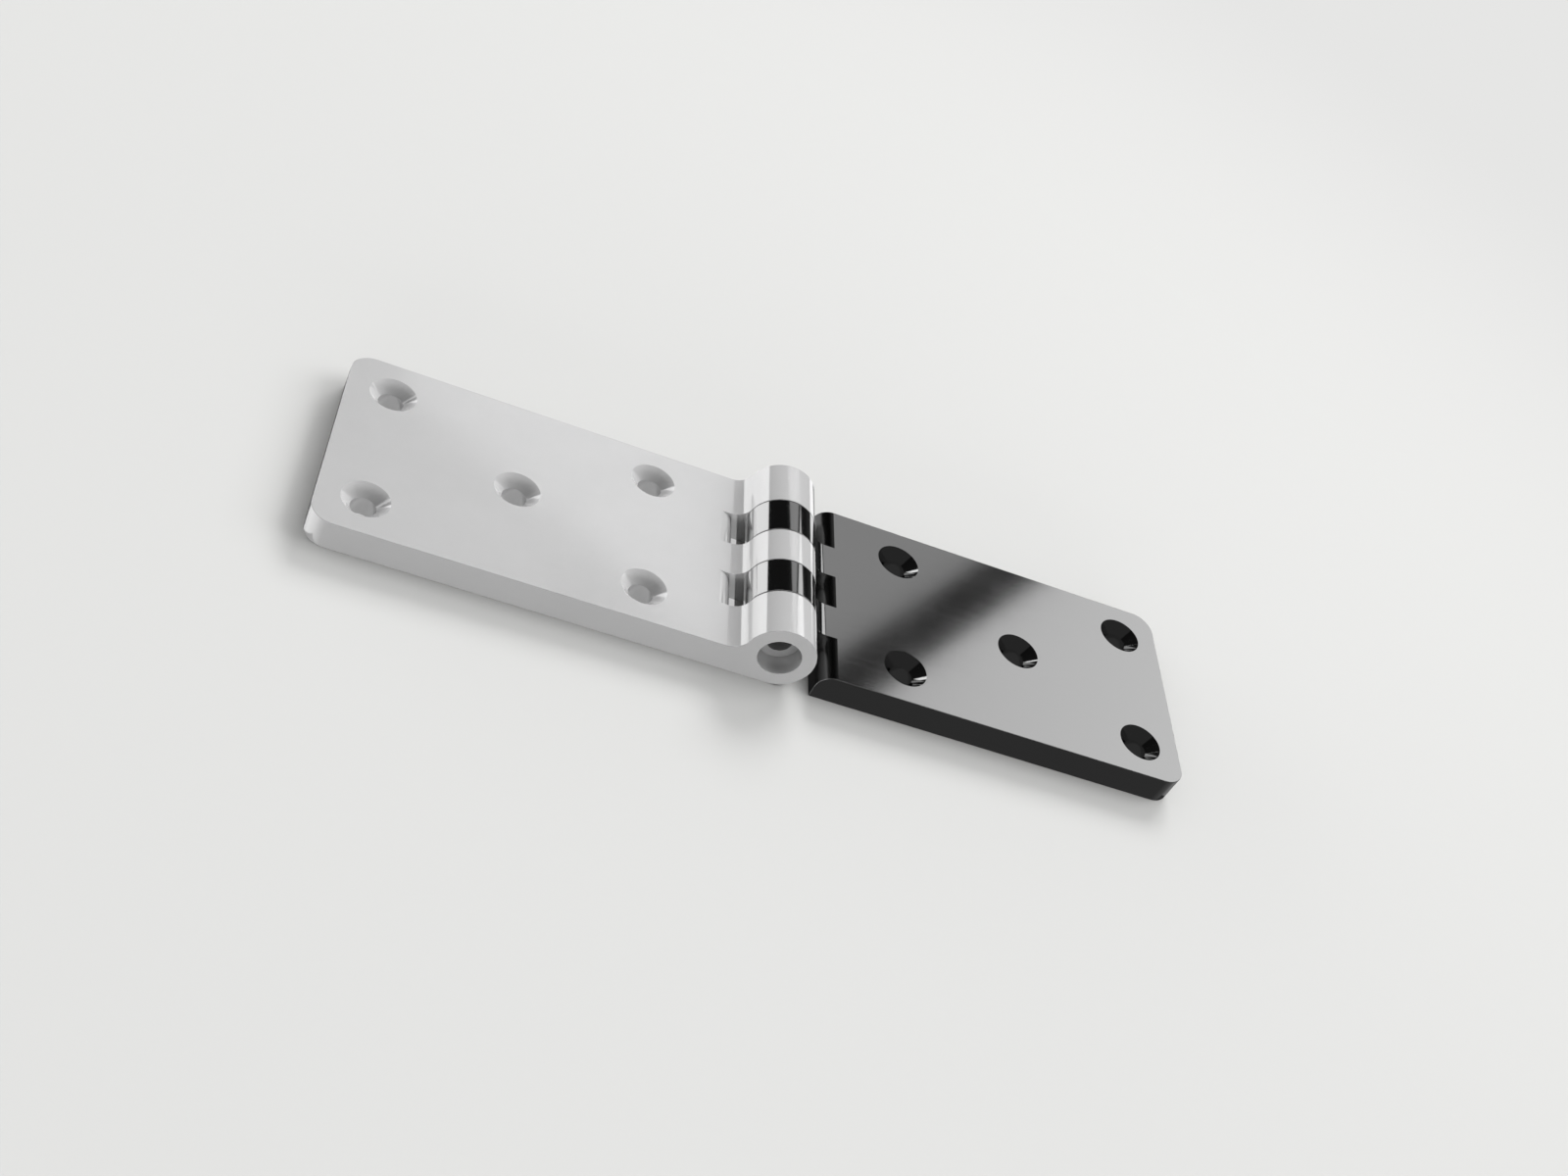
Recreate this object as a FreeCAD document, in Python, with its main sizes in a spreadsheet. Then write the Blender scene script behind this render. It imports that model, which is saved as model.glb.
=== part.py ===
import FreeCAD, Part
import math
import os

import Sketcher

# A heavy butt hinge: two thick screwed leaves whose knuckles interlock around a hollow pin. It lies
# open flat on its undersides, with the origin below the middle of the barrel and the pin along Y.
# Each leaf is drawn pointing to +X with its underside at height 0, and the leaf with three knuckles
# is then turned half a turn about Z.

SIZES = [
    ("leaf_width", 55.0, "leaf, measured along the pin"),
    ("leaf_reach", 100.9, "pin axis to the outer end of a leaf"),
    ("leaf_thickness", 7.0, "plate of a leaf"),
    ("corner_radius", 5.0, "outer corners of a leaf, seen from above"),
    ("barrel_diameter", 16.0, "outside of the knuckles"),
    ("root_radius", 4.0, "hollow between the knuckles and the plate"),
    ("knuckle_length", 10.0, "each of the three inner knuckles"),
    ("knuckle_gap", 0.2, "play between two neighbouring knuckles"),
    ("notch_clearance", 2.25, "knuckles of one leaf to the notches of the other"),
    ("notch_rounding", 4.0, "rounded upper edge of the notches"),
    ("pin_diameter", 9.5, "outside of the hollow pin"),
    ("pin_bore", 5.5, "hole through the pin"),
    ("pin_recess", 5.0, "end of the barrel to the end of the pin"),
    ("pin_clearance", 0.05, "running clearance around the pin, on the radius"),
    ("screw_hole", 5.5, "through holes for the screws"),
    ("countersink_diameter", 10.4, "countersinks, at the face of the plate"),
    ("countersink_angle", 90.0, "full angle of the countersinks, in degrees"),
    ("inner_screw_distance", 30.75, "pin axis to the inner screws"),
    ("outer_screw_margin", 10.15, "outer screws to the end of the leaf"),
    ("side_screw_margin", 10.0, "corner screws to the sides of the leaf"),
]

doc = FreeCAD.newDocument("hinge")
sheet = doc.addObject("Spreadsheet::Sheet", "Sizes")
for row, (alias, value, meaning) in enumerate(SIZES, start=1):
    sheet.set(f"A{row}", meaning)
    sheet.set(f"B{row}", str(value))
    sheet.setAlias(f"B{row}", alias)
doc.recompute()

# Distances that follow from the sizes
PIN_HEIGHT = "Sizes.barrel_diameter / 2"
RUNNING_BORE = "Sizes.pin_diameter + 2 * Sizes.pin_clearance"
PIN_LENGTH = "Sizes.leaf_width - 2 * Sizes.pin_recess"
NOTCH_WALL = "Sizes.barrel_diameter / 2 + Sizes.notch_clearance"
INNER_NOTCH_WIDTH = "Sizes.knuckle_length + Sizes.knuckle_gap"
END_NOTCH_WIDTH = "Sizes.leaf_width - 3 * Sizes.knuckle_length + Sizes.knuckle_gap"

# References in a sketch: its origin, its two axes, and the points of an element
ORIGIN = (-1, 1)
AXIS_ACROSS = -1
AXIS_UP = -2
START, END, CENTRE = 1, 2, 3


# Sketches and features

def value_of(expression):
    """The present value of an expression, for laying out a sketch before it is constrained."""
    return float(sheet.evalExpression(expression))


def point(across, up):
    return FreeCAD.Vector(across, up, 0)


def circle(centre, radius):
    return Part.Circle(centre, FreeCAD.Vector(0, 0, 1), radius)


def arc(centre, radius, start_angle, end_angle):
    return Part.ArcOfCircle(circle(centre, radius), start_angle, end_angle)


def origin_plane(body, role):
    return next(plane for plane in body.Origin.OriginFeatures if plane.Role == role)


def new_sketch(body, name, role, offset=None):
    """A sketch on one of the body's origin planes, or offset from it along the plane's normal."""
    sketch = body.newObject("Sketcher::SketchObject", name)
    sketch.AttachmentSupport = [(origin_plane(body, role), "")]
    sketch.MapMode = "FlatFace"
    if offset:
        sketch.setExpression("AttachmentOffset.Base.z", offset)
    return sketch


def constrain(sketch, kind, *references):
    sketch.addConstraint(Sketcher.Constraint(kind, *references))


def dimension(sketch, name, kind, references, expression):
    """A named dimension that follows the sheet."""
    index = sketch.addConstraint(Sketcher.Constraint(kind, *references, value_of(expression)))
    sketch.renameConstraint(index, name)
    sketch.setExpression(f"Constraints.{name}", expression)


def extrude_both_ways(body, kind, name, sketch, length):
    """A pad or pocket of the given length, centred on its sketch."""
    feature = body.newObject(kind, name)
    feature.Profile = sketch
    feature.SideType = "Symmetric"
    feature.setExpression("Length", length)
    return feature


def finish_cut(body, feature):
    """Recomputes the body and makes sure that the cut has taken material away."""
    volume = body.Shape.Volume
    body.Tip = feature
    doc.recompute()
    if body.Shape.Volume > volume - 1:
        raise RuntimeError(f"{feature.Label} of {body.Label} cuts nothing")


# A leaf

def pad_section(body):
    """Plate, hollow and barrel as one outline seen along the pin, padded over the leaf's width."""
    barrel_radius = value_of(PIN_HEIGHT)
    root_radius = value_of("Sizes.root_radius")
    plate_top = value_of("Sizes.leaf_thickness")
    reach = value_of("Sizes.leaf_reach")
    root_height = plate_top + root_radius
    root_across = math.sqrt((barrel_radius + root_radius) ** 2 - (root_height - barrel_radius) ** 2)
    root_angle = math.atan2(root_height - barrel_radius, root_across)

    sketch = new_sketch(body, "LeafSection", "XZ_Plane")
    underside = sketch.addGeometry(Part.LineSegment(point(0, 0), point(reach, 0)))
    outer_end = sketch.addGeometry(Part.LineSegment(point(reach, 0), point(reach, plate_top)))
    top = sketch.addGeometry(Part.LineSegment(point(reach, plate_top), point(root_across, plate_top)))
    root = sketch.addGeometry(
        arc(point(root_across, root_height), root_radius, math.pi + root_angle, 1.5 * math.pi))
    barrel = sketch.addGeometry(
        arc(point(0, barrel_radius), barrel_radius, root_angle, 1.5 * math.pi))

    constrain(sketch, "Tangent", barrel, END, underside, START)
    constrain(sketch, "Coincident", underside, END, outer_end, START)
    constrain(sketch, "Coincident", outer_end, END, top, START)
    constrain(sketch, "Tangent", top, END, root, END)
    constrain(sketch, "Tangent", root, START, barrel, START)
    constrain(sketch, "PointOnObject", underside, START, AXIS_ACROSS)
    constrain(sketch, "PointOnObject", barrel, CENTRE, AXIS_UP)
    constrain(sketch, "Horizontal", underside)
    constrain(sketch, "Vertical", outer_end)
    constrain(sketch, "Horizontal", top)
    dimension(sketch, "reach", "DistanceX", (*ORIGIN, outer_end, START), "Sizes.leaf_reach")
    dimension(sketch, "thickness", "DistanceY", (outer_end, START, outer_end, END),
              "Sizes.leaf_thickness")
    dimension(sketch, "barrel_radius", "Radius", (barrel,), PIN_HEIGHT)
    dimension(sketch, "root_radius", "Radius", (root,), "Sizes.root_radius")

    pad = extrude_both_ways(body, "PartDesign::Pad", "Leaf", sketch, "Sizes.leaf_width")
    doc.recompute()
    return pad


def round_outer_corners(body, pad):
    """Rounds the two upright edges at the outer end of the leaf."""
    reach = value_of("Sizes.leaf_reach")
    upright = [
        f"Edge{index}" for index, edge in enumerate(pad.Shape.Edges, start=1)
        if abs(edge.BoundBox.XMin - reach) < 0.001 and edge.BoundBox.YLength < 0.001
    ]
    corners = body.newObject("PartDesign::Fillet", "OuterCorners")
    corners.Base = (pad, upright)
    corners.setExpression("Radius", "Sizes.corner_radius")
    finish_cut(body, corners)


def cut_notch(body, name, width, middle=None):
    """Room for a knuckle of the other leaf, through barrel and plate, with a rounded upper edge.

    The outline of the cut stays half a barrel or more clear of the barrel on its open sides.
    """
    wall = value_of(NOTCH_WALL)
    rounding = value_of("Sizes.notch_rounding")
    plate_top = value_of("Sizes.leaf_thickness")
    margin = value_of("Sizes.barrel_diameter")

    sketch = new_sketch(body, f"{name}Section", "XZ_Plane", middle)
    edge = sketch.addGeometry(
        Part.LineSegment(point(wall, -margin), point(wall, plate_top - rounding)))
    rounded = sketch.addGeometry(
        arc(point(wall + rounding, plate_top - rounding), rounding, 0.5 * math.pi, math.pi))
    rise = sketch.addGeometry(
        Part.LineSegment(point(wall + rounding, plate_top), point(wall + rounding, 2 * margin)))
    above = sketch.addGeometry(
        Part.LineSegment(point(wall + rounding, 2 * margin), point(-margin, 2 * margin)))
    behind = sketch.addGeometry(
        Part.LineSegment(point(-margin, 2 * margin), point(-margin, -margin)))
    below = sketch.addGeometry(Part.LineSegment(point(-margin, -margin), point(wall, -margin)))

    constrain(sketch, "Tangent", edge, END, rounded, END)
    constrain(sketch, "Coincident", rounded, START, rise, START)
    constrain(sketch, "Coincident", rise, END, above, START)
    constrain(sketch, "Coincident", above, END, behind, START)
    constrain(sketch, "Coincident", behind, END, below, START)
    constrain(sketch, "Coincident", below, END, edge, START)
    constrain(sketch, "PointOnObject", rounded, CENTRE, rise)
    constrain(sketch, "Vertical", edge)
    constrain(sketch, "Vertical", rise)
    constrain(sketch, "Horizontal", above)
    constrain(sketch, "Vertical", behind)
    constrain(sketch, "Horizontal", below)
    dimension(sketch, "wall", "DistanceX", (*ORIGIN, edge, END), NOTCH_WALL)
    dimension(sketch, "rounding", "Radius", (rounded,), "Sizes.notch_rounding")
    dimension(sketch, "plate_top", "DistanceY", (*ORIGIN, rounded, START), "Sizes.leaf_thickness")
    dimension(sketch, "above", "DistanceY", (*ORIGIN, above, END), "2 * Sizes.barrel_diameter")
    dimension(sketch, "behind", "DistanceX", (below, START, *ORIGIN), "Sizes.barrel_diameter")
    dimension(sketch, "below", "DistanceY", (below, START, *ORIGIN), "Sizes.barrel_diameter")

    notch = extrude_both_ways(body, "PartDesign::Pocket", name, sketch, width)
    finish_cut(body, notch)
    if middle:
        mirrored = body.newObject("PartDesign::Mirrored", f"{name}Mirrored")
        mirrored.Originals = [notch]
        mirrored.MirrorPlane = (origin_plane(body, "XZ_Plane"), [""])
        finish_cut(body, mirrored)


def cut_bore(body, diameter):
    """The bore for the pin, along the whole barrel."""
    sketch = new_sketch(body, "BoreSection", "XZ_Plane")
    bore = sketch.addGeometry(circle(point(0, value_of(PIN_HEIGHT)), value_of(diameter) / 2))
    constrain(sketch, "PointOnObject", bore, CENTRE, AXIS_UP)
    dimension(sketch, "height", "DistanceY", (*ORIGIN, bore, CENTRE), PIN_HEIGHT)
    dimension(sketch, "diameter", "Diameter", (bore,), diameter)
    finish_cut(body, extrude_both_ways(body, "PartDesign::Pocket", "Bore", sketch, "Sizes.leaf_width"))


def drill_screw_holes(body):
    """Four countersunk holes at the corners of a rectangle and one in its middle."""
    inner = "Sizes.inner_screw_distance"
    outer = "Sizes.leaf_reach - Sizes.outer_screw_margin"
    middle = f"({inner} + {outer}) / 2"
    spread = "Sizes.leaf_width - 2 * Sizes.side_screw_margin"
    radius = value_of("Sizes.screw_hole") / 2

    sketch = new_sketch(body, "ScrewPlaces", "XY_Plane", "Sizes.leaf_thickness")
    centre_hole = sketch.addGeometry(circle(point(value_of(middle), 0), radius))
    constrain(sketch, "PointOnObject", centre_hole, CENTRE, AXIS_ACROSS)
    dimension(sketch, "middle", "DistanceX", (*ORIGIN, centre_hole, CENTRE), middle)
    dimension(sketch, "diameter", "Diameter", (centre_hole,), "Sizes.screw_hole")
    for name, distance in (("inner", inner), ("outer", outer)):
        near, far = [
            sketch.addGeometry(circle(point(value_of(distance), side * value_of(spread) / 2), radius))
            for side in (-1, 1)
        ]
        constrain(sketch, "Symmetric", near, CENTRE, far, CENTRE, AXIS_ACROSS)
        constrain(sketch, "Equal", near, centre_hole)
        constrain(sketch, "Equal", far, centre_hole)
        dimension(sketch, f"{name}_distance", "DistanceX", (*ORIGIN, near, CENTRE), distance)
        dimension(sketch, f"{name}_spread", "DistanceY", (near, CENTRE, far, CENTRE), spread)
    doc.recompute()

    holes = body.newObject("PartDesign::Hole", "ScrewHoles")
    holes.Profile = sketch
    holes.DepthType = "ThroughAll"
    holes.DrillPoint = "Flat"
    holes.HoleCutType = "Countersink"
    holes.HoleCutCustomValues = True
    holes.setExpression("Diameter", "Sizes.screw_hole")
    holes.setExpression("HoleCutDiameter", "Sizes.countersink_diameter")
    holes.setExpression("HoleCutCountersinkAngle", "Sizes.countersink_angle")
    finish_cut(body, holes)


def make_leaf(label, bore_diameter, notches):
    body = doc.addObject("PartDesign::Body", label)
    round_outer_corners(body, pad_section(body))
    for notch in notches:
        cut_notch(body, *notch)
    cut_bore(body, bore_diameter)
    drill_screw_holes(body)
    return body


# The pin

def make_pin(label):
    """A tube drawn around its own axis. It ends short of the barrel at both ends."""
    body = doc.addObject("PartDesign::Body", label)
    sketch = new_sketch(body, "PinSection", "XZ_Plane")
    for name in ("pin_diameter", "pin_bore"):
        ring = sketch.addGeometry(circle(point(0, 0), value_of(f"Sizes.{name}") / 2))
        constrain(sketch, "Coincident", ring, CENTRE, *ORIGIN)
        dimension(sketch, name, "Diameter", (ring,), f"Sizes.{name}")
    extrude_both_ways(body, "PartDesign::Pad", "Pin", sketch, PIN_LENGTH)
    doc.recompute()
    return body


# The hinge: the pin is pressed into the leaf with three knuckles and turns in the other one

three_knuckle_leaf = make_leaf("three_knuckle_leaf", "Sizes.pin_diameter", [
    ("SideNotch", INNER_NOTCH_WIDTH, "Sizes.knuckle_length"),
])
two_knuckle_leaf = make_leaf("two_knuckle_leaf", RUNNING_BORE, [
    ("MiddleNotch", INNER_NOTCH_WIDTH),
    ("EndNotch", END_NOTCH_WIDTH, "Sizes.leaf_width / 2"),
])
hinge_pin = make_pin("hinge_pin")

half_turn = FreeCAD.Rotation(FreeCAD.Vector(0, 0, 1), 180)
three_knuckle_leaf.Placement = FreeCAD.Placement(FreeCAD.Vector(0, 0, 0), half_turn)
hinge_pin.setExpression("Placement.Base.z", PIN_HEIGHT)
doc.recompute()

for item in doc.Objects:
    if "Invalid" in item.State or "Error" in item.State:
        raise RuntimeError(f"{item.Label} failed to recompute")

parts = (three_knuckle_leaf, two_knuckle_leaf, hinge_pin)
for part in parts:
    if part.Shape.isNull() or not part.Shape.isValid():
        raise RuntimeError(f"{part.Label} has no valid shape")

os.makedirs("parts", exist_ok=True)
for part in parts:
    part.Shape.exportStep(f"parts/{part.Label}.step")
    print(part.Label, f"{part.Shape.Volume:.1f} mm3", part.Shape.BoundBox)
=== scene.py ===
import math

import bpy
from mathutils import Matrix, Vector


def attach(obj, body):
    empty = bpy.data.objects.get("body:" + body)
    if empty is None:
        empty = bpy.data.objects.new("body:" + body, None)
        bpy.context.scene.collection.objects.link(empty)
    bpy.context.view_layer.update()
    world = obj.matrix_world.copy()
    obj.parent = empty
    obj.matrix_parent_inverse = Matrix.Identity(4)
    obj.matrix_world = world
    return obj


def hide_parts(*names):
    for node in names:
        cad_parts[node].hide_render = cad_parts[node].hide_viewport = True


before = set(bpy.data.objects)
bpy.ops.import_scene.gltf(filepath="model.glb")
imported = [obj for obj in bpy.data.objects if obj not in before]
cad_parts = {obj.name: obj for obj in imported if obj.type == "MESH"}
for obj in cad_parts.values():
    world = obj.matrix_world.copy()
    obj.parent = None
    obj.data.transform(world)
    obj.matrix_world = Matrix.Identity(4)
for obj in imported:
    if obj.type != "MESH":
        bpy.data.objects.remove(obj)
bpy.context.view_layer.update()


# Pale leaf
# A 7 mm steel plate and its three knuckles, machined from one bar. It is blasted fine and
# satin-plated all over, so it is pale and still shows the lamps. Its outer edges are broken last.

# Places along x and y are measured from the middle of the barrel, heights from the underside.
MM = 0.001
LEAF_THICKNESS = 7.0 * MM
LEAF_SIDE = 27.5 * MM
AXIS_HEIGHT = 8.0 * MM
BORE_RADIUS = 4.8 * MM
SCREW_PLACES = [(30.75 * MM, 17.5 * MM), (60.75 * MM, 0), (90.75 * MM, 17.5 * MM)]
COUNTERSINK_RADIUS = 5.2 * MM
NOTCH_WALL = 10.25 * MM
NOTCH_END = 14.25 * MM
EDGE_BREAK = 0.1 * MM

# Faces and edges are chosen by their place, to within this much.
WITHIN = 0.1 * MM

# A Mix node has its sockets for colours at these places, where their names aren't enough.
FACTOR, COLOUR_A, COLOUR_B, MIXED_COLOUR = 0, 6, 7, 2


def linear(hex_colour):
    """An sRGB hex colour as the linear RGBA that the shader sockets take."""
    channels = [int(hex_colour[i:i + 2], 16) / 255 for i in (1, 3, 5)]
    return [c / 12.92 if c <= 0.04045 else ((c + 0.055) / 1.055) ** 2.4 for c in channels] + [1.0]


def new_material(name):
    """A material with no nodes yet."""
    material = bpy.data.materials.new(name)
    material.use_nodes = True
    material.node_tree.nodes.clear()
    return material


def add_node(material, kind, settings=None, links=None):
    """One node with its settings, by socket or by property name, and what feeds its sockets."""
    node = material.node_tree.nodes.new(kind)
    for name, value in (settings or {}).items():
        if isinstance(name, int) or name in node.inputs:
            node.inputs[name].default_value = value
        else:
            setattr(node, name, value)
    for name, output in (links or {}).items():
        material.node_tree.links.new(output, node.inputs[name])
    return node


def wave_scale(pitch):
    """Scale of a wave texture whose lines lie this far apart."""
    return math.pi / 10 / pitch


# Satin zinc plating on fine-blasted steel. It gives the eye a pale grey that stays even in the
# light, with soft lamps in it, a faint grain and a slow drift in tone and gloss. The true grain,
# about 0.1 mm, is too fine to show and is drawn coarser.
PLATING_GRAIN = 0.35 * MM
PLATING_DRIFT = 15 * MM
satin_plating = new_material("satin_plated_steel")
place = add_node(satin_plating, "ShaderNodeTexCoord").outputs["Object"]
grain = add_node(satin_plating, "ShaderNodeTexNoise",
                 {"Scale": 1 / PLATING_GRAIN, "Detail": 2.0}, {"Vector": place})
grain_relief = add_node(satin_plating, "ShaderNodeBump", {"Strength": 0.1, "Distance": 0.01 * MM},
                        {"Height": grain.outputs["Fac"]})
drift = add_node(satin_plating, "ShaderNodeTexNoise",
                 {"Scale": 1 / PLATING_DRIFT, "Detail": 3.0, "Roughness": 0.6}, {"Vector": place})
tone = add_node(satin_plating, "ShaderNodeMix",
                {"data_type": "RGBA", COLOUR_A: linear("#C2C2C2"), COLOUR_B: linear("#CACACA")},
                {FACTOR: drift.outputs["Fac"]})
gloss = add_node(satin_plating, "ShaderNodeMapRange", {"To Min": 0.06, "To Max": 0.11},
                 {"Value": drift.outputs["Fac"]})
satin_shader = add_node(satin_plating, "ShaderNodeBsdfPrincipled", {"Metallic": 0.6},
                        {"Base Color": tone.outputs[MIXED_COLOUR],
                         "Roughness": gloss.outputs["Result"],
                         "Normal": grain_relief.outputs["Normal"]})
add_node(satin_plating, "ShaderNodeOutputMaterial",
         links={"Surface": satin_shader.outputs["BSDF"]})

# The same plating in a screw hole, over the turned rings of its countersink. It gives the eye a
# pale funnel with fine rings, which are drawn further apart than they are so that they show.
COUNTERSINK_RINGS = 0.35 * MM
satin_countersink = new_material("satin_plated_countersink")
place = add_node(satin_countersink, "ShaderNodeTexCoord").outputs["Object"]
rings = add_node(satin_countersink, "ShaderNodeTexWave",
                 {"bands_direction": "Z", "Scale": wave_scale(COUNTERSINK_RINGS),
                  "Distortion": 0.4, "Detail": 1.0, "Detail Scale": 0.3}, {"Vector": place})
ring_relief = add_node(satin_countersink, "ShaderNodeBump",
                       {"Strength": 0.3, "Distance": 0.003 * MM},
                       {"Height": rings.outputs["Fac"]})
ring_gloss = add_node(satin_countersink, "ShaderNodeMapRange", {"To Min": 0.075, "To Max": 0.1},
                      {"Value": rings.outputs["Fac"]})
countersink_shader = add_node(satin_countersink, "ShaderNodeBsdfPrincipled",
                              {"Base Color": linear("#C6C6C6"), "Metallic": 0.6},
                              {"Roughness": ring_gloss.outputs["Result"],
                               "Normal": ring_relief.outputs["Normal"]})
add_node(satin_countersink, "ShaderNodeOutputMaterial",
         links={"Surface": countersink_shader.outputs["BSDF"]})

# Plating on a broken edge. It gives the eye a thin bright line, rubbed smoother by handling in
# some places than in others.
HANDLED_PATCH = 6 * MM
rubbed_plating = new_material("rubbed_plated_edge")
place = add_node(rubbed_plating, "ShaderNodeTexCoord").outputs["Object"]
rubbing = add_node(rubbed_plating, "ShaderNodeTexNoise",
                   {"Scale": 1 / HANDLED_PATCH, "Detail": 3.0}, {"Vector": place})
rubbed_tone = add_node(rubbed_plating, "ShaderNodeMix",
                       {"data_type": "RGBA", COLOUR_A: linear("#C4C4C4"),
                        COLOUR_B: linear("#D2D2D2")},
                       {FACTOR: rubbing.outputs["Fac"]})
rubbed_gloss = add_node(rubbed_plating, "ShaderNodeMapRange", {"To Min": 0.12, "To Max": 0.05},
                        {"Value": rubbing.outputs["Fac"]})
rubbed_shader = add_node(rubbed_plating, "ShaderNodeBsdfPrincipled", {"Metallic": 0.7},
                         {"Base Color": rubbed_tone.outputs[MIXED_COLOUR],
                          "Roughness": rubbed_gloss.outputs["Result"]})
add_node(rubbed_plating, "ShaderNodeOutputMaterial",
         links={"Surface": rubbed_shader.outputs["BSDF"]})

# Steel left as bored for the pin, with the tool's rings around the bore, drawn further apart than
# they are. It gives the eye a darker, duller grey than the plating, and little light reaches it.
BORE_RINGS = 0.3 * MM
bored_steel = new_material("bored_steel")
place = add_node(bored_steel, "ShaderNodeTexCoord").outputs["Object"]
bore_rings = add_node(bored_steel, "ShaderNodeTexWave",
                      {"bands_direction": "Y", "Scale": wave_scale(BORE_RINGS),
                       "Distortion": 0.8, "Detail": 1.0, "Detail Scale": 0.3}, {"Vector": place})
bore_relief = add_node(bored_steel, "ShaderNodeBump", {"Strength": 0.3, "Distance": 0.004 * MM},
                       {"Height": bore_rings.outputs["Fac"]})
bore_tone = add_node(bored_steel, "ShaderNodeMix",
                     {"data_type": "RGBA", COLOUR_A: linear("#B8B8B8"),
                      COLOUR_B: linear("#C4C4C4")},
                     {FACTOR: bore_rings.outputs["Fac"]})
bored_shader = add_node(bored_steel, "ShaderNodeBsdfPrincipled",
                        {"Metallic": 0.6, "Roughness": 0.3},
                        {"Base Color": bore_tone.outputs[MIXED_COLOUR],
                         "Normal": bore_relief.outputs["Normal"]})
add_node(bored_steel, "ShaderNodeOutputMaterial", links={"Surface": bored_shader.outputs["BSDF"]})


def closed_copy(node_name, piece_name):
    """A copy of a CAD node as one closed skin, with each flat face whole, alone selected."""
    piece = bpy.data.objects.new(piece_name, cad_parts[node_name].data.copy())
    bpy.context.scene.collection.objects.link(piece)
    piece.data.materials.clear()
    bpy.ops.object.select_all(action="DESELECT")
    piece.select_set(True)
    bpy.context.view_layer.objects.active = piece
    bpy.ops.object.mode_set(mode="EDIT")
    bpy.ops.mesh.select_all(action="SELECT")
    bpy.ops.mesh.customdata_custom_splitnormals_clear()
    bpy.ops.mesh.remove_doubles(threshold=0.002 * MM)
    bpy.ops.mesh.dissolve_limited(angle_limit=math.radians(0.05))
    bpy.ops.object.mode_set(mode="OBJECT")
    return piece


def give_finish(piece, material, chosen=None):
    """Puts a finish on the faces that are chosen by their place and normal, or on all of them."""
    piece.data.materials.append(material)
    for face in piece.data.polygons:
        if chosen is None or chosen(face.center, face.normal):
            face.material_index = len(piece.data.materials) - 1


def from_screw(point):
    """How far a point lies from the axis of the nearest screw hole."""
    return min(math.hypot(abs(point.x) - x, abs(point.y) - y) for x, y in SCREW_PLACES)


def break_edges(piece, material):
    """Takes a narrow flat off the sharp edges, but not off those of a notch or a screw hole."""
    piece.data.materials.append(material)
    bpy.ops.object.mode_set(mode="EDIT")
    bpy.ops.mesh.select_mode(type="EDGE")
    bpy.ops.mesh.select_all(action="DESELECT")
    bpy.ops.mesh.edges_select_sharp(sharpness=math.radians(25))
    bpy.ops.object.mode_set(mode="OBJECT")
    corners = piece.data.vertices
    for edge in piece.data.edges:
        middle = (corners[edge.vertices[0]].co + corners[edge.vertices[1]].co) / 2
        at_notch = (NOTCH_WALL - WITHIN < abs(middle.x) < NOTCH_END + WITHIN
                    and abs(middle.y) < LEAF_SIDE - WITHIN)
        at_hole = from_screw(middle) < COUNTERSINK_RADIUS + WITHIN
        edge.use_edge_sharp = edge.select and (at_notch or at_hole)
        if at_notch or at_hole:
            edge.select = False
    bpy.ops.object.mode_set(mode="EDIT")
    bpy.ops.mesh.bevel(offset_type="OFFSET", offset=EDGE_BREAK, segments=1, affect="EDGES",
                       clamp_overlap=False, material=len(piece.data.materials) - 1)
    bpy.ops.object.mode_set(mode="OBJECT")
    bpy.ops.object.shade_smooth_by_angle(angle=math.radians(50), keep_sharp_edges=True)
    even = piece.modifiers.new("even_shading", "WEIGHTED_NORMAL")
    even.weight = 100
    even.thresh = 0.3 * MM * MM
    even.keep_sharp = True
    bpy.ops.object.modifier_apply(modifier=even.name)


def in_screw_hole(middle, normal):
    """Chooses the cone and the straight wall of each screw hole."""
    return (from_screw(middle) < COUNTERSINK_RADIUS
            and WITHIN < middle.z < LEAF_THICKNESS - WITHIN)


def in_pin_bore(middle, normal):
    """Chooses the round wall of the bore, but not the flat sides of the knuckles around it."""
    return math.hypot(middle.x, middle.z - AXIS_HEIGHT) < BORE_RADIUS and abs(normal.y) < 0.5


pale_leaf = closed_copy("three_knuckle_leaf", "pale_leaf")
give_finish(pale_leaf, satin_plating)
give_finish(pale_leaf, satin_countersink, in_screw_hole)
give_finish(pale_leaf, bored_steel, in_pin_bore)
break_edges(pale_leaf, rubbed_plating)
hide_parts("three_knuckle_leaf")
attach(pale_leaf, "fixed_leaf")


# Mirror leaf
# The same plate with two knuckles, ground and then buffed to a mirror, which shows the lamps and
# the dark between them. The wheel doesn't reach into its notches, which keep the cutter's lines
# and are painted dark grey as shade.

# Steel polished to a mirror. It gives the eye lamps with soft edges and a deep dark, crossed by
# faint buffing lines along the leaf, drawn wider than they are so that they show, with a little
# haze.
BUFFING_LINE_LENGTH = 30 * MM
BUFFING_LINE_WIDTH = 0.5 * MM
HAZE_PATCH = 10 * MM
mirror_polish = new_material("mirror_polished_steel")
place = add_node(mirror_polish, "ShaderNodeTexCoord").outputs["Object"]
along_leaf = add_node(mirror_polish, "ShaderNodeMapping",
                      {"Scale": (1 / BUFFING_LINE_LENGTH, 1 / BUFFING_LINE_WIDTH,
                                 1 / BUFFING_LINE_WIDTH)}, {"Vector": place})
hairlines = add_node(mirror_polish, "ShaderNodeTexNoise", {"Scale": 1.0, "Detail": 2.0},
                     {"Vector": along_leaf.outputs["Vector"]})
haze = add_node(mirror_polish, "ShaderNodeTexNoise",
                {"Scale": 1 / HAZE_PATCH, "Detail": 2.0}, {"Vector": place})
dullness = add_node(mirror_polish, "ShaderNodeMath", {"operation": "MULTIPLY"},
                    {0: hairlines.outputs["Fac"], 1: haze.outputs["Fac"]})
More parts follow.
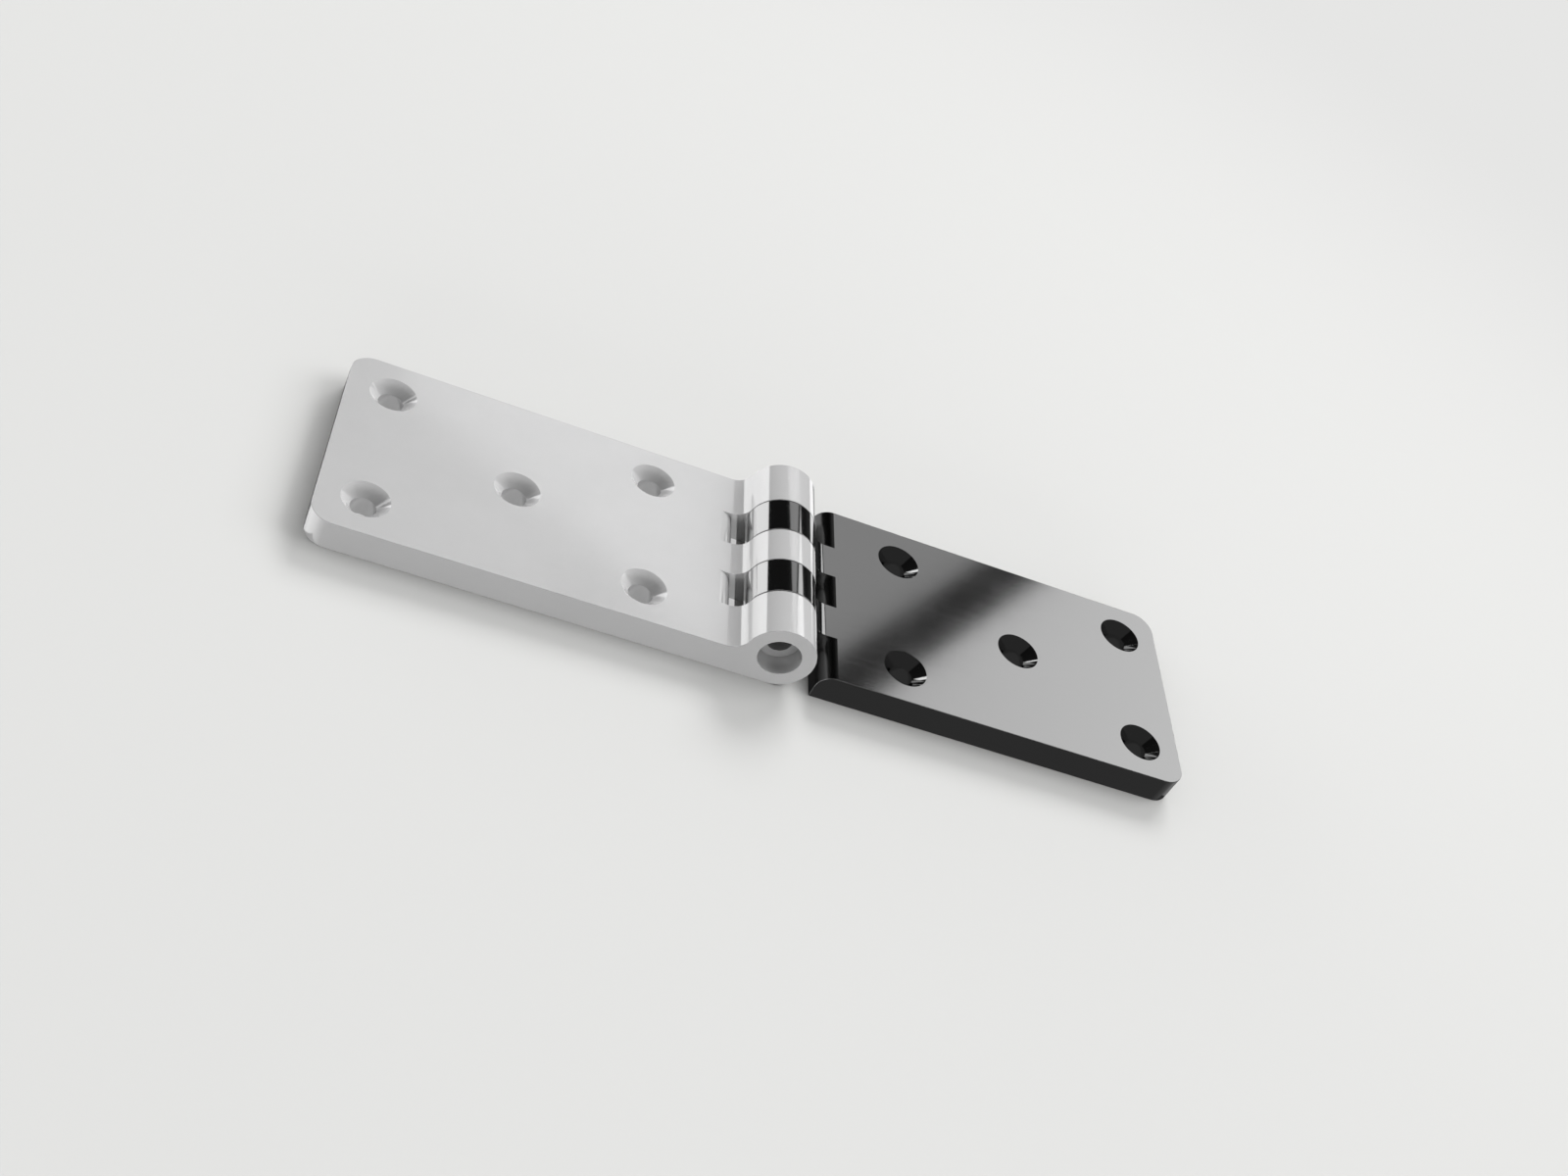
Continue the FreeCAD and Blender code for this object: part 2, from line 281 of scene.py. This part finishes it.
mirror_gloss = add_node(mirror_polish, "ShaderNodeMapRange",
                        {"From Min": 0.1, "From Max": 0.45, "To Min": 0.072, "To Max": 0.092},
                        {"Value": dullness.outputs["Value"]})
hairline_relief = add_node(mirror_polish, "ShaderNodeBump",
                           {"Strength": 0.02, "Distance": 0.002 * MM},
                           {"Height": hairlines.outputs["Fac"]})
mirror_shader = add_node(mirror_polish, "ShaderNodeBsdfPrincipled",
                         {"Base Color": linear("#D4D4D4"), "Metallic": 1.0},
                         {"Roughness": mirror_gloss.outputs["Result"],
                          "Normal": hairline_relief.outputs["Normal"]})
add_node(mirror_polish, "ShaderNodeOutputMaterial",
         links={"Surface": mirror_shader.outputs["BSDF"]})

# The turned rings of a countersink, brightened by the mop. It gives the eye a dark funnel with
# small bright lamps in it.
mirror_countersink = new_material("polished_countersink")
place = add_node(mirror_countersink, "ShaderNodeTexCoord").outputs["Object"]
rings = add_node(mirror_countersink, "ShaderNodeTexWave",
                 {"bands_direction": "Z", "Scale": wave_scale(COUNTERSINK_RINGS),
                  "Distortion": 0.4, "Detail": 1.0, "Detail Scale": 0.3}, {"Vector": place})
ring_relief = add_node(mirror_countersink, "ShaderNodeBump",
                       {"Strength": 0.2, "Distance": 0.002 * MM},
                       {"Height": rings.outputs["Fac"]})
ring_gloss = add_node(mirror_countersink, "ShaderNodeMapRange", {"To Min": 0.05, "To Max": 0.08},
                      {"Value": rings.outputs["Fac"]})
countersink_shader = add_node(mirror_countersink, "ShaderNodeBsdfPrincipled",
                              {"Base Color": linear("#D4D4D4"), "Metallic": 1.0},
                              {"Roughness": ring_gloss.outputs["Result"],
                               "Normal": ring_relief.outputs["Normal"]})
add_node(mirror_countersink, "ShaderNodeOutputMaterial",
         links={"Surface": countersink_shader.outputs["BSDF"]})

# Steel as milled with the side of the cutter, whose lines run along the pin, drawn wider than
# they are. Its dull dark grey is painted shade on the notch walls.
CUTTER_LINE_LENGTH = 8 * MM
CUTTER_LINE_WIDTH = 0.2 * MM
milled_steel_painted_shade = new_material("milled_steel_painted_shade")
place = add_node(milled_steel_painted_shade, "ShaderNodeTexCoord").outputs["Object"]
along_pin = add_node(milled_steel_painted_shade, "ShaderNodeMapping",
                     {"Scale": (1 / CUTTER_LINE_WIDTH, 1 / CUTTER_LINE_LENGTH,
                                1 / CUTTER_LINE_WIDTH)}, {"Vector": place})
cutter_lines = add_node(milled_steel_painted_shade, "ShaderNodeTexNoise", {"Scale": 1.0, "Detail": 2.0},
                        {"Vector": along_pin.outputs["Vector"]})
cutter_relief = add_node(milled_steel_painted_shade, "ShaderNodeBump", {"Strength": 0.3, "Distance": 0.004 * MM},
                         {"Height": cutter_lines.outputs["Fac"]})
painted_shade_tone = add_node(milled_steel_painted_shade, "ShaderNodeMix",
                       {"data_type": "RGBA", COLOUR_A: linear("#555555"),
                        COLOUR_B: linear("#636363")},
                       {FACTOR: cutter_lines.outputs["Fac"]})
painted_shade_shader = add_node(milled_steel_painted_shade, "ShaderNodeBsdfPrincipled",
                         {"Metallic": 1.0, "Roughness": 0.2},
                         {"Base Color": painted_shade_tone.outputs[MIXED_COLOUR],
                          "Normal": cutter_relief.outputs["Normal"]})
add_node(milled_steel_painted_shade, "ShaderNodeOutputMaterial",
         links={"Surface": painted_shade_shader.outputs["BSDF"]})

# Polish on a broken edge. It gives the eye a thin bright line with small dull stretches where the
# mop ran over it.
MOPPED_PATCH = 6 * MM
polished_edge = new_material("polished_edge")
place = add_node(polished_edge, "ShaderNodeTexCoord").outputs["Object"]
mopping = add_node(polished_edge, "ShaderNodeTexNoise",
                   {"Scale": 1 / MOPPED_PATCH, "Detail": 3.0}, {"Vector": place})
edge_gloss = add_node(polished_edge, "ShaderNodeMapRange", {"To Min": 0.05, "To Max": 0.16},
                      {"Value": mopping.outputs["Fac"]})
edge_shader = add_node(polished_edge, "ShaderNodeBsdfPrincipled",
                       {"Base Color": linear("#D8D8D8"), "Metallic": 1.0},
                       {"Roughness": edge_gloss.outputs["Result"]})
add_node(polished_edge, "ShaderNodeOutputMaterial",
         links={"Surface": edge_shader.outputs["BSDF"]})

# The last strip of the rounding above a notch's wall has its middle below this height.
ROUNDING_TOP = LEAF_THICKNESS - 0.02 * MM


def in_notch(middle, normal):
    """Chooses the walls of a notch and the rounding above them, which take the painted shade."""
    return (NOTCH_WALL - WITHIN < abs(middle.x) < NOTCH_END
            and WITHIN < middle.z < ROUNDING_TOP)


mirror_leaf = closed_copy("two_knuckle_leaf", "mirror_leaf")
give_finish(mirror_leaf, mirror_polish)
give_finish(mirror_leaf, mirror_countersink, in_screw_hole)
# The notch walls and the rounding above them get the dark painted shade.
give_finish(mirror_leaf, milled_steel_painted_shade, in_notch)
give_finish(mirror_leaf, bored_steel, in_pin_bore)
break_edges(mirror_leaf, polished_edge)
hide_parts("two_knuckle_leaf")
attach(mirror_leaf, "swinging_leaf")


# Pin
# A drawn steel tube, cut to length and turned flat at its ends, and pressed into the pale leaf's
# knuckles. It ends 5 mm inside the barrel.

# Drawn steel, unplated, with the die's lines along it and turned rings on its ends, both drawn
# coarser than they are. Down in the recess it gives the eye a dull grey ring.
END_RINGS = 0.3 * MM
DIE_LINE_LENGTH = 12 * MM
DIE_LINE_WIDTH = 0.3 * MM
drawn_steel = new_material("drawn_steel_tube")
place = add_node(drawn_steel, "ShaderNodeTexCoord").outputs["Object"]
from_axis = add_node(drawn_steel, "ShaderNodeMapping", {"Location": (0, 0, -AXIS_HEIGHT)},
                     {"Vector": place})
end_rings = add_node(drawn_steel, "ShaderNodeTexWave",
                     {"wave_type": "RINGS", "rings_direction": "Y",
                      "Scale": wave_scale(END_RINGS), "Distortion": 0.6, "Detail": 1.0,
                      "Detail Scale": 0.3}, {"Vector": from_axis.outputs["Vector"]})
along_tube = add_node(drawn_steel, "ShaderNodeMapping",
                      {"Scale": (1 / DIE_LINE_WIDTH, 1 / DIE_LINE_LENGTH, 1 / DIE_LINE_WIDTH)},
                      {"Vector": place})
die_lines = add_node(drawn_steel, "ShaderNodeTexNoise", {"Scale": 1.0, "Detail": 2.0},
                     {"Vector": along_tube.outputs["Vector"]})
marks = add_node(drawn_steel, "ShaderNodeMath", {"operation": "ADD"},
                 {0: end_rings.outputs["Fac"], 1: die_lines.outputs["Fac"]})
mark_relief = add_node(drawn_steel, "ShaderNodeBump", {"Strength": 0.3, "Distance": 0.004 * MM},
                       {"Height": marks.outputs["Value"]})
tube_tone = add_node(drawn_steel, "ShaderNodeMix",
                     {"data_type": "RGBA", COLOUR_A: linear("#969696"),
                      COLOUR_B: linear("#A2A2A2")},
                     {FACTOR: die_lines.outputs["Fac"]})
drawn_shader = add_node(drawn_steel, "ShaderNodeBsdfPrincipled",
                        {"Metallic": 0.6, "Roughness": 0.3},
                        {"Base Color": tube_tone.outputs[MIXED_COLOUR],
                         "Normal": mark_relief.outputs["Normal"]})
add_node(drawn_steel, "ShaderNodeOutputMaterial", links={"Surface": drawn_shader.outputs["BSDF"]})

pin_tube = closed_copy("hinge_pin", "pin_tube")
give_finish(pin_tube, drawn_steel)
break_edges(pin_tube, drawn_steel)
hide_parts("hinge_pin")
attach(pin_tube, "fixed_leaf")


# Studio
# A plain pale floor in a dim room, lit softly from behind, from the right and from low down on the
# left and in front. The metal mirrors softboxes and dark walls, which the camera doesn't see.

LAMP_DISTANCE = 4.0


def sky_direction(azimuth, elevation):
    """Unit vector from the hinge, with the azimuth in degrees from +Y towards +X."""
    a, e = math.radians(azimuth), math.radians(elevation)
    return Vector((math.sin(a) * math.cos(e), math.cos(a) * math.cos(e), math.sin(e)))


def add_softbox(name, corners, radiance):
    """A flat lamp whose corners are seen from the hinge at these azimuths and elevations.

    Its radiance runs from the first value at its least x to the second at its greatest.
    """
    mesh = bpy.data.meshes.new(name)
    mesh.from_pydata([sky_direction(*corner) * LAMP_DISTANCE for corner in corners], [],
                     [(0, 1, 2, 3)])
    softbox = bpy.data.objects.new(name, mesh)
    bpy.context.scene.collection.objects.link(softbox)
    glow = new_material(name)
    extent = add_node(glow, "ShaderNodeTexCoord").outputs["Generated"]
    across = add_node(glow, "ShaderNodeSeparateXYZ", links={"Vector": extent})
    brightness = add_node(glow, "ShaderNodeMapRange",
                          {"To Min": radiance[0], "To Max": radiance[1]},
                          {"Value": across.outputs["X"]})
    emission = add_node(glow, "ShaderNodeEmission", {"Color": linear("#FFFFFF")},
                        {"Strength": brightness.outputs["Result"]})
    add_node(glow, "ShaderNodeOutputMaterial", links={"Surface": emission.outputs["Emission"]})
    mesh.materials.append(glow)
    softbox.visible_camera = False
    softbox.visible_diffuse = False
    softbox.visible_shadow = False


add_softbox("back_softbox", [(1.5, 38), (22.8, 42), (30.6, 26), (1.5, 24)], (0.3, 0.31))
add_softbox("right_softbox", [(26.1, 41.3), (60, 42), (60, 12), (32.5, 25.4)], (0.62, 1.1))
add_softbox("left_softbox", [(-52, -43), (-19, -38.5), (-25, 19.5), (-52, 16.8)], (1.05, 1.05))
add_softbox("low_right_softbox", [(35, -22), (50, -22), (50, -4), (35, -4)], (0.95, 0.95))

# The flat metal mirrors these five only in views from the sides, the back and above.
add_softbox("front_right_softbox", [(122, 6), (166, 6), (166, 30), (122, 30)], (0.7, 0.35))
add_softbox("front_left_softbox", [(184, 6), (228, 6), (228, 30), (184, 30)], (0.7, 0.35))
add_softbox("left_side_softbox", [(-114, 3), (-63, 3), (-63, 22), (-114, 22)], (0.35, 0.7))
add_softbox("high_left_softbox", [(-62, 42), (-33, 36), (-22, 60), (-62, 60)], (0.3, 0.6))
add_softbox("overhead_softbox", [(20, 66), (110, 66), (200, 66), (290, 66)], (0.3, 0.6))

# The floor is matt paint that takes the hinge's soft shadow. Further away it fades into an even
# glow of the same tone as the wall behind it. The metal doesn't mirror it.
FLOOR_SIZE = 12.0
FADE_START = 150 * MM
FADE_END = 600 * MM
FAR_TONE = "#E6E6E5"
bpy.ops.mesh.primitive_plane_add(size=FLOOR_SIZE)
floor = bpy.context.object
floor.name = "floor"
floor_paint = new_material("pale_floor")
place = add_node(floor_paint, "ShaderNodeTexCoord").outputs["Object"]
floor_shader = add_node(floor_paint, "ShaderNodeBsdfPrincipled",
                        {"Base Color": linear("#989897"), "Roughness": 0.9,
                         "Specular IOR Level": 0.1})
from_hinge = add_node(floor_paint, "ShaderNodeVectorMath", {"operation": "LENGTH"}, {0: place})
far_away = add_node(floor_paint, "ShaderNodeMapRange",
                    {"interpolation_type": "SMOOTHSTEP", "From Min": FADE_START,
                     "From Max": FADE_END}, {"Value": from_hinge.outputs["Value"]})
even_light = add_node(floor_paint, "ShaderNodeEmission", {"Color": linear(FAR_TONE)})
floor_mix = add_node(floor_paint, "ShaderNodeMixShader",
                     links={0: far_away.outputs["Result"], 1: floor_shader.outputs["BSDF"],
                            2: even_light.outputs["Emission"]})
add_node(floor_paint, "ShaderNodeOutputMaterial", links={"Surface": floor_mix.outputs["Shader"]})
floor.data.materials.append(floor_paint)
floor.visible_glossy = False

LEAF_END = 100.9 * MM
CARD_GAP = 0.05 * MM


def add_card(name, ends, side, height, radiance):
    """A glowing card that lies flat at this height, between two ends and as far to each side."""
    bpy.ops.mesh.primitive_plane_add(size=1)
    card = bpy.context.object
    card.name = name
    for vertex in card.data.vertices:
        vertex.co = (ends[1] if vertex.co.x > 0 else ends[0],
                     side if vertex.co.y > 0 else -side, height)
    glow = new_material(name)
    emission = add_node(glow, "ShaderNodeEmission",
                        {"Color": linear("#FFFFFF"), "Strength": radiance})
    add_node(glow, "ShaderNodeOutputMaterial", links={"Surface": emission.outputs["Emission"]})
    card.data.materials.append(glow)
    card.visible_shadow = False
    return card


# Only the metal mirrors this one: a dim glowing card, painted shade in place of the floor in the
# hinge's shade.
painted_floor_shade = add_card("painted_floor_shade", ends=(-LEAF_END, LEAF_END), side=LEAF_SIDE,
                        height=-CARD_GAP, radiance=0.036)
painted_floor_shade.visible_camera = False
painted_floor_shade.visible_diffuse = False

# Under the pale leaf a glowing card lies on the floor, painted light that comes up into its holes
# and notches and shows through them. The leaf never leaves this place and covers it.
painted_underlight = add_card("painted_underlight", ends=(-97.5 * MM, -7.5 * MM), side=25 * MM,
                       height=CARD_GAP, radiance=0.55)

# What the metal mirrors of the room, as radiance by azimuth in degrees from +Y towards +X: light
# from below, where it mirrors no floor, and dark walls above. Light and walls run into each other
# between the heights of WALL_EDGE on the unit sphere, and the walls are paler at their foot.
LIGHT_BELOW = [(180, 0.036), (143, 0.036), (115, 0.07), (100, 0.1), (85, 0.2), (60, 0.22),
               (40, 0.06), (-48, 0.06), (-53, 0.9), (-70, 1.0), (-106, 0.72), (-130, 0.4),
               (-154, 0.1), (-180, 0.036)]
LIGHT_OF_WALLS = [(180, 0.027), (74, 0.027), (66, 0.01), (-106, 0.006), (-112, 0.027),
                  (-180, 0.027)]
BRIGHTEST = 1.1
WALL_EDGE = (-0.09, -0.04)
WALL_FOOT_TOP = 0.25
world = bpy.data.worlds.new("studio")
bpy.context.scene.world = world
world.use_nodes = True
world.node_tree.nodes.clear()
heading = add_node(world, "ShaderNodeTexCoord").outputs["Generated"]
rise = add_node(world, "ShaderNodeSeparateXYZ", links={"Vector": heading}).outputs["Z"]
# Turned so, the gradient runs from 0 at an azimuth of 180 degrees to 1 at -180 degrees.
turned = add_node(world, "ShaderNodeMapping", {"Rotation": (0, 0, math.radians(-90))},
                  {"Vector": heading})
bearing = add_node(world, "ShaderNodeTexGradient", {"gradient_type": "RADIAL"},
                   {"Vector": turned.outputs["Vector"]})
mirrored_light = []
for steps in (LIGHT_BELOW, LIGHT_OF_WALLS):
    shades = add_node(world, "ShaderNodeValToRGB", links={"Fac": bearing.outputs["Fac"]})
    ramp = shades.color_ramp.elements
    ramp[0].position, ramp[1].position = 0.0, 1.0
    for azimuth, level in steps:
        position = 0.5 - azimuth / 360
        stop = ramp[0] if position == 0.0 else ramp[-1] if position == 1.0 else ramp.new(position)
        stop.color = (level / BRIGHTEST, level / BRIGHTEST, level / BRIGHTEST, 1)
    mirrored_light.append(add_node(world, "ShaderNodeBackground", {"Strength": BRIGHTEST},
                                   {"Color": shades.outputs["Color"]}).outputs["Background"])
light_below, light_of_walls = mirrored_light
wall_foot = add_node(world, "ShaderNodeBackground", {"Color": linear("#303030")})
above_foot = add_node(world, "ShaderNodeMapRange", {"From Min": 0.0, "From Max": WALL_FOOT_TOP},
                      {"Value": rise})
dark_room = add_node(world, "ShaderNodeMixShader",
                     links={0: above_foot.outputs["Result"], 1: wall_foot.outputs["Background"],
                            2: light_of_walls})
is_above = add_node(world, "ShaderNodeMapRange",
                    {"From Min": WALL_EDGE[0], "From Max": WALL_EDGE[1]}, {"Value": rise})
mirrored = add_node(world, "ShaderNodeMixShader",
                    links={0: is_above.outputs["Result"], 1: light_below,
                           2: dark_room.outputs["Shader"]})

# Matt surfaces are lit by an even soft dome instead, and the camera sees a pale wall.
soft_dome = add_node(world, "ShaderNodeBackground", {"Color": linear("#FFFFFF")})
pale_wall = add_node(world, "ShaderNodeBackground", {"Color": linear(FAR_TONE)})
ray = add_node(world, "ShaderNodeLightPath")
lit_or_mirrored = add_node(world, "ShaderNodeMixShader",
                           links={0: ray.outputs["Is Glossy Ray"],
                                  1: soft_dome.outputs["Background"],
                                  2: mirrored.outputs["Shader"]})
surroundings = add_node(world, "ShaderNodeMixShader",
                        links={0: ray.outputs["Is Camera Ray"],
                               1: lit_or_mirrored.outputs["Shader"],
                               2: pale_wall.outputs["Background"]})
add_node(world, "ShaderNodeOutputWorld", links={"Surface": surroundings.outputs["Shader"]})

# The world differs for each kind of ray, so it isn't sampled as a lamp.
world.cycles.sampling_method = "NONE"


def add_soft_light(name, azimuth, elevation, width, height, radiance):
    """A rectangular lamp facing the hinge, with its angles in degrees as seen from there."""
    lamp = bpy.data.lights.new(name, "AREA")
    lamp.shape = "RECTANGLE"
    lamp.size = 2 * LAMP_DISTANCE * math.tan(math.radians(width / 2))
    lamp.size_y = 2 * LAMP_DISTANCE * math.tan(math.radians(height / 2))
    lamp.energy = radiance * math.pi * lamp.size * lamp.size_y
    light = bpy.data.objects.new(name, lamp)
    bpy.context.scene.collection.objects.link(light)
    light.location = sky_direction(azimuth, elevation) * LAMP_DISTANCE
    light.rotation_euler = light.location.to_track_quat("Z", "Y").to_euler()
    light.visible_glossy = False


add_soft_light("back_light", azimuth=20, elevation=35, width=30, height=20, radiance=22.5)
add_soft_light("right_light", azimuth=80, elevation=43, width=40, height=40, radiance=7.0)
add_soft_light("low_left_light", azimuth=297, elevation=5.2, width=80, height=10, radiance=12.5)
add_soft_light("low_front_light", azimuth=175, elevation=5.2, width=50, height=10, radiance=20.0)


# Camera
# It stands where the photograph was taken: above the near end of the barrel, looking across the
# hinge. Its place, turn and lens were solved from the hinge's edges, holes and barrel.

camera_data = bpy.data.cameras.new("camera")
camera_data.sensor_width = 36
camera_data.lens = 41.524
camera = bpy.data.objects.new("camera", camera_data)
bpy.context.scene.collection.objects.link(camera)
right = Vector((0.91579, 0.00021, 0.40167))
down = Vector((0.2943, -0.68092, -0.67063))
forward = Vector((0.27336, 0.73236, -0.62364))
standpoint = Vector((-108.0246, -297.4292, 256.7955)) * MM
turn = Matrix((right, -down, -forward)).transposed().to_4x4()
camera.matrix_world = Matrix.Translation(standpoint) @ turn
bpy.context.scene.camera = camera
bpy.context.scene.view_settings.view_transform = "Standard"
